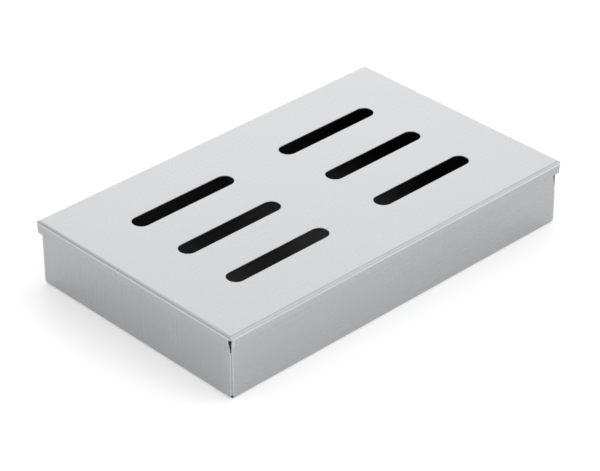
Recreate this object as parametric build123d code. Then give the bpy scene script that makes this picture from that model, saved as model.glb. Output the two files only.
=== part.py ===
from build123d import *

import os

# Overall sizes, in millimetres. The closed box stands on its flat underside, centred on the origin,
# with its length along X, its width along Y and its lid on top.
box_length = 210.0
box_width = 131.0
box_height = 33.5

# The lid is one sheet, bent down into a flange on each side. Its bends are closed at the corners,
# which are rounded as seen from above. Below them each flange stops short of the next one's outer
# face by a setback, and by more at its right-hand end, as seen from outside.
lid_sheet = 0.8
lid_bend_inside_radius = 1.2
lid_flange_height = 5.7
lid_closed_corner_height = 1.5
lid_closed_corner_radius = 2.4
lid_left_setback = 1.2
lid_right_setback = 1.9
lid_side_flange_corner_radius = 0.5
lid_end_flange_corner_radius = 1.6

# The lid's slots lie in rows along X, beside each other in columns.
slot_length = 59.3
slot_width = 9.1
slot_end_gap = 31.7
slot_side_gap = 22.4
slot_columns = 2
slot_rows = 3

# The tray is one sheet, bent up into a wall on each side. Its rim carries the lid. Each wall stops
# short of the next one's outer face by the setback, and the two meet behind that groove.
tray_sheet = 0.8
tray_bend_inside_radius = 0.8
tray_wall_setback = 0.5
tray_relief_radius = 0.6
tray_rim_corner_radius = 1.0

# Between the flat top of the tray's rim and the start of the bend inside the lid.
lid_play = 0.05

# Each wall's right-hand end, as seen from outside, leans away from the next wall, from this height
# up and most of all at the rim, which leaves a narrow wedge open at each corner. The long walls lean
# away more than the short ones.
tray_long_lean_start = 17.5
tray_long_lean_at_rim = 2.2
tray_short_lean_start = 24.5
tray_short_lean_at_rim = 1.2

# How much is taken off the cut edges of the sheet: the rims of the sides are bevelled, and the
# upright outer edges at the corners are rounded.
edge_break = 0.2

# How far a cutting solid runs past the faces that it cuts.
cut_overrun = 1.0

# Worked out from the sizes above.
lid_bend_radius = lid_sheet + lid_bend_inside_radius
lid_underside = box_height - lid_sheet
tray_bend_radius = tray_sheet + tray_bend_inside_radius
tray_inset = lid_bend_radius + lid_play - edge_break
tray_length = box_length - 2 * tray_inset
tray_width = box_width - 2 * tray_inset
tray_height = lid_underside


def bent_side(length, height, sheet, bend_radius):
    """One side of a folded sheet: a bend and the wall above it, lying along X.

    The wall's outer face is at Y zero and the sheet's underside at Z zero. The wall stands to the
    positive side of Y, where the bend runs into the flat sheet.
    """
    inside_radius = bend_radius - sheet
    with BuildSketch(Plane.YZ) as section:
        with BuildLine():
            bend_start = (bend_radius, 0)
            bend_end = (0, bend_radius)
            RadiusArc(bend_start, bend_end, bend_radius)
            Polyline(
                bend_end,
                (0, height - edge_break),
                (edge_break, height),
                (sheet - edge_break, height),
                (sheet, height - edge_break),
                (sheet, bend_radius),
            )
            RadiusArc((sheet, bend_radius), (bend_radius, sheet), -inside_radius)
            Line((bend_radius, sheet), bend_start)
        make_face()
    return extrude(section.sketch, length / 2, both=True)


def side_in_plan(length, bend_radius, left_setback, right_setback):
    """The outline, seen from above, that one side keeps when its ends are cut.

    The ends run along the mitre, at 45 degrees, where the side joins the next one. The outer part
    of the sheet stops at the setbacks.
    """
    bend_corner = length / 2 - bend_radius
    mitred = Polyline(
        (-length / 2, 0),
        (length / 2, 0),
        (bend_corner, bend_radius),
        (-bend_corner, bend_radius),
        close=True,
    )
    between_setbacks = Rectangle(length - left_setback - right_setback, 2 * bend_radius)
    return make_face(mitred) & Pos((left_setback - right_setback) / 2, 0) * between_setbacks


def leaning_end(length, height, sheet, bend_radius, lean_start, lean):
    """The wedge that is missing from a side whose right-hand end leans back, by lean at its rim."""
    end = length / 2 - sheet
    overrun_lean = lean * cut_overrun / (height - lean_start)
    wedge = Polyline(
        (end, lean_start),
        (end + sheet, lean_start),
        (end + sheet, height + cut_overrun),
        (end - lean - overrun_lean, height + cut_overrun),
        close=True,
    )
    return extrude(Plane.XZ * make_face(wedge), bend_radius + cut_overrun, both=True)


def free_corner(end, height, bend_radius, corner_radius):
    """What is cut from a side where its free edge meets its right-hand end, to round that corner."""
    reach = corner_radius + cut_overrun
    square = Rectangle(reach, reach, align=(Align.MIN, Align.MIN))
    outline = Pos(end - corner_radius, height - corner_radius) * (square - Circle(corner_radius))
    return extrude(Plane.XZ * outline, bend_radius + cut_overrun, both=True)


def cut_side(
    length, height, sheet, bend_radius, setbacks, closed_height, corner_radius, lean_start=0, lean=0
):
    """One side of a folded sheet with its ends cut for the corners and the cut edges rounded.

    The setbacks, left and right, begin above the closed height, below which the side runs on to
    the mitre. The right-hand end leans back above the start of the lean.
    """
    uncut = bent_side(length, height, sheet, bend_radius)
    outline = side_in_plan(length, bend_radius, *setbacks)
    side = uncut & Pos(0, 0, closed_height) * extrude(outline, height - closed_height)
    left_end, right_end = (length / 2 - setback for setback in setbacks)
    if lean > 0:
        side = side - leaning_end(length, height, sheet, bend_radius, lean_start, lean)
        right_end = length / 2 - sheet - lean
    upright_edges = [
        edge
        for edge in side.edges()
        if abs((edge @ 1 - edge @ 0).Z) > (height - closed_height) / 2
        and abs(edge.center().Y) < sheet / 2
    ]
    side = fillet(upright_edges, edge_break)
    left_corner = mirror(free_corner(left_end, height, bend_radius, corner_radius), Plane.YZ)
    side = side - [left_corner, free_corner(right_end, height, bend_radius, corner_radius)]
    if closed_height > 0:
        side = side + (uncut & extrude(side_in_plan(length, bend_radius, 0, 0), closed_height))
    return side


def folded_sheet(
    length, width, height, sheet, bend_radius, setbacks, closed_height, long_cuts, short_cuts
):
    """A folded sheet that stands on its flat, with its four sides up.

    The cuts of the long and the short sides are their free corners' radius and any lean.
    """
    shared_cuts = height, sheet, bend_radius, setbacks, closed_height
    flat = extrude(Rectangle(length - 2 * bend_radius, width - 2 * bend_radius), sheet)
    long_side = cut_side(length, *shared_cuts, *long_cuts)
    short_side = cut_side(width, *shared_cuts, *short_cuts)
    return flat + [
        Pos(0, -width / 2, 0) * long_side,
        Pos(length / 2, 0, 0) * Rot(0, 0, 90) * short_side,
        Pos(0, width / 2, 0) * Rot(0, 0, 180) * long_side,
        Pos(-length / 2, 0, 0) * Rot(0, 0, 270) * short_side,
    ]


def make_tray():
    """The open tray, with a round relief hole at the foot of each corner's groove."""
    setbacks = tray_wall_setback, tray_wall_setback
    tray = folded_sheet(
        tray_length, tray_width, tray_height, tray_sheet, tray_bend_radius, setbacks, 0,
        (tray_rim_corner_radius, tray_long_lean_start, tray_long_lean_at_rim),
        (tray_rim_corner_radius, tray_short_lean_start, tray_short_lean_at_rim),
    )
    for side_x in (-1, 1):
        for side_y in (-1, 1):
            foot = (side_x * tray_length / 2, side_y * tray_width / 2, tray_bend_radius)
            outwards = Plane(foot, z_dir=(side_x, side_y, 0))
            tray = tray - outwards * Cylinder(tray_relief_radius, 4 * tray_bend_radius)
    return tray


def make_lid():
    """The slotted lid, upside down, with its flanges up, which puts their right-hand ends left."""
    setbacks = lid_right_setback, lid_left_setback
    lid = folded_sheet(
        box_length, box_width, lid_flange_height, lid_sheet, lid_bend_radius, setbacks,
        lid_closed_corner_height, [lid_side_flange_corner_radius], [lid_end_flange_corner_radius],
    )
    plan = RectangleRounded(box_length, box_width, lid_closed_corner_radius)
    lid = lid & extrude(plan, lid_flange_height)
    slot_places = GridLocations(
        slot_length + slot_end_gap, slot_width + slot_side_gap, slot_columns, slot_rows
    )
    slots = Sketch() + slot_places * SlotOverall(slot_length, slot_width)
    lid = lid - extrude(slots, lid_sheet)
    slot_edges = [
        edge
        for face in lid.faces().filter_by(Axis.Z)
        for wire in face.inner_wires()
        for edge in wire.edges()
    ]
    return fillet(slot_edges, edge_break)


os.makedirs("parts", exist_ok=True)
tray = make_tray()
lid = Pos(0, 0, box_height) * Rot(180, 0, 0) * make_lid()
export_step(tray, "parts/tray.step")
export_step(lid, "parts/lid.step")
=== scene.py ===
import math

import bpy
from mathutils import Matrix, Vector


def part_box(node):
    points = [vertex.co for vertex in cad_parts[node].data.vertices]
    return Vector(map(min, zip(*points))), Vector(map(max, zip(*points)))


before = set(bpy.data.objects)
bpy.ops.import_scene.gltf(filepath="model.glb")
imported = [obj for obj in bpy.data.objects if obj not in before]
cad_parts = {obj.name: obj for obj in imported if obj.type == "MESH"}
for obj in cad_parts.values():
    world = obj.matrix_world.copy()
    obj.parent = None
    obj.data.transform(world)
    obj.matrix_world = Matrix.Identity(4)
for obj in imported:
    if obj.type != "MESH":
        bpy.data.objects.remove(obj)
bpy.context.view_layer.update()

# The camera, as the photograph has it. Its azimuth is from -Y towards +X. Angles in degrees, lengths
# in metres.
image_width = 600
camera_azimuth = -43.50
camera_elevation = 32.45
camera_roll = -0.35
camera_distance = 1.1991
origin_right_of_centre = 0.00170
origin_below_centre = 0.00749
focal_length_in_pixels = 2573.5
sensor_width_mm = 36.0

# The studio: a pale room, far soft panels on its walls and one near softbox. Directions are from the
# box, as azimuth from +X towards +Y and elevation. A panel's spread is the angle from its middle to
# its edge. Angles in degrees, distances and sizes in metres.
floor_size = 6.0
floor_colour = (0.86, 0.86, 0.86)
floor_lift = 0.33
room_strength = 0.35
soft_panels = [
    # azimuth, elevation, spread, strength
    (47, 24, 32, 1.32),
    (47, 5, 32, 0.50),
    (137, 24, 32, 0.70),
    (137, 10, 20, 0.90),
    (-43, 2, 32, 1.06),
    (-43, 8, 20, 0.35),
    (-43, 24, 32, 0.50),
    (-13, 46, 34, 0.98),
    (90, 52, 30, 0.75),
    (0, 90, 55, 0.45),
]
softboxes = [
    # azimuth, elevation, distance, size, strength
    (-100, 20, 0.42, 0.34, 1.45),
]

# The finish of the sheet, in metres. The grain runs along the length of each blank, so it is level on
# the long sides and upright on the short ones. Streaks and clouds vary the tint and the gloss.
steel_colour = (0.408, 0.411, 0.420)
steel_roughness = 0.27
steel_anisotropy = 0.45
grain_width = 0.00025
grain_length = 0.020
grain_depth = 0.0000001
streak_width = 0.0026
streak_length = 0.160
streak_tint = 0.026
cloud_width = 0.026
cloud_length = 0.0416
cloud_tint = 0.02
roughness_spread = 0.03
edge_radius = 0.0003
edge_samples = 4

# Each pattern is cut from the noise at a place of its own, so that they don't coincide.
noise_detail = 2.0
grain_shift = 1.0
streak_shift = 4.0
cloud_shift = 9.0

# The inside of the sheet is dull, and its colour is painted darker there as painted shade for the
# shut box, as far as the slots show it. A face of a side is an inner one where its normal points
# towards the middle of the box by more than the last share here.
sheet_thickness = 0.0008
inside_shade_share = 0.36
inside_roughness = 0.75
inside_blend = 0.0001
least_inward = 0.7

# The cut edges beside the open corners get a painted highlight, a lighter colour: out to these
# distances from the corner, and from these distances below or above the flat of the sheet.
highlight_share = 1.15
highlight_blend = 0.0002
highlight_reach = {"lid": 0.0024, "tray": 0.0014}
highlight_start = {"lid": 0.0015, "tray": 0.0}

# A side counts as upright, not as facing down, where its normal points down by less than this share.
upright_slack = 0.001


def make_camera():
    """The camera looks down on the front left corner of the box."""
    azimuth = math.radians(camera_azimuth)
    elevation = math.radians(camera_elevation)
    roll = math.radians(camera_roll)
    back = Vector((
        math.sin(azimuth) * math.cos(elevation),
        -math.cos(azimuth) * math.cos(elevation),
        math.sin(elevation),
    ))
    level_right = Vector((math.cos(azimuth), math.sin(azimuth), 0))
    level_up = back.cross(level_right)
    right = math.cos(roll) * level_right + math.sin(roll) * level_up
    up = math.cos(roll) * level_up - math.sin(roll) * level_right
    place = back * camera_distance - right * origin_right_of_centre + up * origin_below_centre
    data = bpy.data.cameras.new("camera")
    data.sensor_width = sensor_width_mm
    data.lens = focal_length_in_pixels * sensor_width_mm / image_width
    camera = bpy.data.objects.new("camera", data)
    turn = Matrix((right, up, back)).transposed().to_4x4()
    camera.matrix_world = Matrix.Translation(place) @ turn
    bpy.context.scene.collection.objects.link(camera)
    bpy.context.scene.camera = camera


class Nodes:
    """A node tree with short ways to add nodes to it and join them."""

    def __init__(self, tree):
        self.tree = tree

    def add(self, kind, **settings):
        node = self.tree.nodes.new(kind)
        for name, value in settings.items():
            setattr(node, name, value)
        return node

    def feed(self, value, socket):
        if isinstance(value, bpy.types.NodeSocket):
            self.tree.links.new(value, socket)
        else:
            socket.default_value = value

    def math(self, operation, *values):
        node = self.add("ShaderNodeMath", operation=operation)
        for value, socket in zip(values, node.inputs):
            self.feed(value, socket)
        return node.outputs[0]

    def vector(self, operation, *values):
        node = self.add("ShaderNodeVectorMath", operation=operation)
        for value, socket in zip(values, node.inputs):
            self.feed(value, socket)
        return node.outputs["Value" if operation == "DOT_PRODUCT" else "Vector"]

    def parts(self, vector):
        node = self.add("ShaderNodeSeparateXYZ")
        self.feed(vector, node.inputs[0])
        return node.outputs

    def smooth(self, value, low, high, to_low=0.0, to_high=1.0):
        node = self.add("ShaderNodeMapRange", interpolation_type="SMOOTHSTEP")
        for number, socket in zip((value, low, high, to_low, to_high), node.inputs):
            self.feed(number, socket)
        return node.outputs[0]


def new_material(name):
    material = bpy.data.materials.new(name)
    material.use_nodes = True
    return material, Nodes(material.node_tree), material.node_tree.nodes["Principled BSDF"]


def noise(nodes, along, across, length, width, shift):
    """Noise from -1 to 1 that is stretched along one way of the sheet."""
    place = nodes.add("ShaderNodeCombineXYZ")
    nodes.feed(nodes.math("DIVIDE", along, length), place.inputs["X"])
    nodes.feed(nodes.math("DIVIDE", across, width), place.inputs["Y"])
    place.inputs["Z"].default_value = shift
    texture = nodes.add("ShaderNodeTexNoise")
    nodes.feed(place.outputs[0], texture.inputs["Vector"])
    texture.inputs["Scale"].default_value = 1.0
    texture.inputs["Detail"].default_value = noise_detail
    return nodes.math("MULTIPLY", nodes.math("SUBTRACT", texture.outputs["Fac"], 0.5), 2.0)


def inside_and_edge_highlight(nodes, name, low, high, place, facing, fold):
    """Where the inside of the sheet is, and where its cut edges get a painted highlight, each from 0
    to 1.
    """
    x, y, _ = place
    facing_x, facing_y, _ = facing

    # How far a point lies in from the outer faces of the sheet.
    middle_x, middle_y = (low[0] + high[0]) / 2, (low[1] + high[1]) / 2
    from_middle_x = nodes.math("ABSOLUTE", nodes.math("SUBTRACT", x, middle_x))
    from_middle_y = nodes.math("ABSOLUTE", nodes.math("SUBTRACT", y, middle_y))
    depth_x = nodes.math("SUBTRACT", high[0] - middle_x, from_middle_x)
    depth_y = nodes.math("SUBTRACT", high[1] - middle_y, from_middle_y)
    side_depth = nodes.math("MINIMUM", depth_x, depth_y)
    depth = nodes.math("MINIMUM", side_depth, fold)
    inside = nodes.smooth(depth, sheet_thickness - inside_blend, sheet_thickness)

    # The inner faces of the sides count as inside up to their very ends, so the painted shade of the
    # inside reaches them too.
    to_middle_x = nodes.math("SIGN", nodes.math("SUBTRACT", middle_x, x))
    to_middle_y = nodes.math("SIGN", nodes.math("SUBTRACT", middle_y, y))
    inward_x = nodes.math("MULTIPLY", facing_x, to_middle_x)
    inward_y = nodes.math("MULTIPLY", facing_y, to_middle_y)
    inward = nodes.math("GREATER_THAN", nodes.math("MAXIMUM", inward_x, inward_y), least_inward)
    in_side = nodes.math("LESS_THAN", side_depth, sheet_thickness + inside_blend)
    inside = nodes.math("MAXIMUM", inside, nodes.math("MULTIPLY", inward, in_side))

    # The painted highlight: cut edges beside the open corners, past the bend, but not on the inside.
    from_corner = nodes.math("MAXIMUM", depth_x, depth_y)
    beside_corner = nodes.smooth(from_corner, highlight_reach[name], highlight_reach[name] - highlight_blend)
    past_bend = nodes.smooth(fold, highlight_start[name] - highlight_blend, highlight_start[name])
    edge_highlight = nodes.math("MULTIPLY", beside_corner, past_bend)
    return inside, nodes.math("MULTIPLY", edge_highlight, nodes.math("SUBTRACT", 1.0, inside))


def tangent_across_grain(nodes, facing):
    """The tangent at which highlights stretch across the grain."""
    facing_x, facing_y, facing_z = facing
    not_down = nodes.math("GREATER_THAN", facing_z, -upright_slack)
    side_up = nodes.math("MULTIPLY_ADD", not_down, 2.0, -1.0)
    turned = nodes.math("MULTIPLY", nodes.math("ABSOLUTE", facing_x), side_up)
    tangent = nodes.add("ShaderNodeCombineXYZ")
    nodes.feed(nodes.math("ADD", facing_z, turned), tangent.inputs["Y"])
    nodes.feed(nodes.math("MULTIPLY", facing_y, -1.0), tangent.inputs["Z"])
    return nodes.vector("NORMALIZE", tangent.outputs[0])


def steel(name, low, high, flat_height):
    """Brushed sheet, with its pattern laid out on the flat blank and folded with it."""
    material, nodes, shader = new_material("stainless_steel_" + name)
    place = nodes.parts(nodes.add("ShaderNodeTexCoord").outputs["Object"])
    facing = nodes.parts(nodes.add("ShaderNodeNewGeometry").outputs["Normal"])
    fold = nodes.math("ABSOLUTE", nodes.math("SUBTRACT", place["Z"], flat_height))
    inside, edge_highlight = inside_and_edge_highlight(nodes, name, low, high, place, facing, fold)

    # How far along and across the blank a point lay before it was folded.
    along = nodes.math("MULTIPLY_ADD", facing["X"], fold, place["X"])
    across = nodes.math("MULTIPLY_ADD", facing["Y"], fold, place["Y"])
    streaks = noise(nodes, along, across, streak_length, streak_width, streak_shift)
    clouds = noise(nodes, along, across, cloud_length, cloud_width, cloud_shift)
    grain = noise(nodes, along, across, grain_length, grain_width, grain_shift)

    tint = nodes.math("MULTIPLY_ADD", streaks, streak_tint, 1.0)
    tint = nodes.math("MULTIPLY_ADD", clouds, cloud_tint, tint)
    # Painted shade: the colour of the inside is darkened.
    tint = nodes.math("MULTIPLY", tint, nodes.math("MULTIPLY_ADD", inside, inside_shade_share - 1, 1.0))
    # Painted highlight: the colour of the cut edges beside the open corners is lightened.
    tint = nodes.math("MULTIPLY", tint, nodes.math("MULTIPLY_ADD", edge_highlight, highlight_share - 1, 1.0))
    colour = nodes.add("ShaderNodeVectorMath", operation="SCALE")
    colour.inputs[0].default_value = steel_colour
    nodes.feed(tint, colour.inputs["Scale"])
    nodes.feed(colour.outputs["Vector"], shader.inputs["Base Color"])

    roughness = nodes.math("MULTIPLY_ADD", streaks, roughness_spread, steel_roughness)
    roughness = nodes.math("MULTIPLY_ADD", clouds, roughness_spread, roughness)
    roughness = nodes.math("MULTIPLY_ADD", inside, inside_roughness - steel_roughness, roughness)
    nodes.feed(roughness, shader.inputs["Roughness"])

    bevel = nodes.add("ShaderNodeBevel", samples=edge_samples)
    bevel.inputs["Radius"].default_value = edge_radius
    bump = nodes.add("ShaderNodeBump")
    bump.inputs["Strength"].default_value = 1.0
    bump.inputs["Distance"].default_value = grain_depth
    nodes.feed(grain, bump.inputs["Height"])
    nodes.feed(bevel.outputs["Normal"], bump.inputs["Normal"])
    nodes.feed(bump.outputs["Normal"], shader.inputs["Normal"])

    nodes.feed(tangent_across_grain(nodes, facing), shader.inputs["Tangent"])
    shader.inputs["Metallic"].default_value = 1
    shader.inputs["Anisotropic"].default_value = steel_anisotropy
    return material


def make_floor():
    """A plain pale floor, lifted towards white for the camera, in reflections and through glass."""
    half = floor_size / 2
    corners = [(-half, -half, 0), (half, -half, 0), (half, half, 0), (-half, half, 0)]
    mesh = bpy.data.meshes.new("floor")
    mesh.from_pydata(corners, [], [(0, 1, 2, 3)])
    floor = bpy.data.objects.new("floor", mesh)
    bpy.context.scene.collection.objects.link(floor)
    material, nodes, shader = new_material("floor_paper")
    shader.inputs["Base Color"].default_value = (*floor_colour, 1)
    shader.inputs["Roughness"].default_value = 1
    shader.inputs["Specular IOR Level"].default_value = 0
    shader.inputs["Emission Color"].default_value = (1, 1, 1, 1)
    path = nodes.add("ShaderNodeLightPath")
    mirrored = nodes.math("MAXIMUM", path.outputs["Is Camera Ray"], path.outputs["Is Glossy Ray"])
    seen = nodes.math("MAXIMUM", mirrored, path.outputs["Is Transmission Ray"])
    nodes.feed(nodes.math("MULTIPLY", seen, floor_lift), shader.inputs["Emission Strength"])
    mesh.materials.append(material)


def direction(azimuth, elevation):
    """The unit vector from the box that these angles, in degrees, stand for."""
    across, up = math.radians(azimuth), math.radians(elevation)
    return Vector((math.cos(across) * math.cos(up), math.sin(across) * math.cos(up), math.sin(up)))


def make_world():
    """A pale room with large soft panels, which fade out towards their edges."""
    world = bpy.data.worlds.new("studio")
    world.use_nodes = True
    nodes = Nodes(world.node_tree)
    background = world.node_tree.nodes["Background"]
    looking = nodes.vector("NORMALIZE", nodes.add("ShaderNodeTexCoord").outputs["Generated"])
    total = room_strength
    for azimuth, elevation, spread, strength in soft_panels:
        nearness = nodes.vector("DOT_PRODUCT", looking, direction(azimuth, elevation))
        panel = nodes.smooth(nearness, math.cos(math.radians(spread)), 1.0, 0.0, strength)
        total = nodes.math("ADD", panel, total)
    nodes.feed(total, background.inputs["Strength"])
    background.inputs["Color"].default_value = (1, 1, 1, 1)
    bpy.context.scene.world = world


def make_softboxes():
    """Square lamps that face the box."""
    for azimuth, elevation, distance, size, strength in softboxes:
        way = direction(azimuth, elevation)
        data = bpy.data.lights.new("softbox", "AREA")
        data.shape = "SQUARE"
        data.size = size
        data.energy = math.pi * size * size * strength
        lamp = bpy.data.objects.new("softbox", data)
        lamp.location = way * distance
        lamp.rotation_euler = way.to_track_quat("Z", "Y").to_euler()
        bpy.context.scene.collection.objects.link(lamp)


make_camera()
make_floor()
make_world()
make_softboxes()

# The flat of the lid is its top, and the flat of the tray its underside.
flat_heights = {"lid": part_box("lid")[1][2], "tray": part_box("tray")[0][2]}
for name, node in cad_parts.items():
    low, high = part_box(name)
    node.material_slots[0].material = steel(name, low, high, flat_heights[name])

bpy.context.scene.view_settings.view_transform = "Standard"
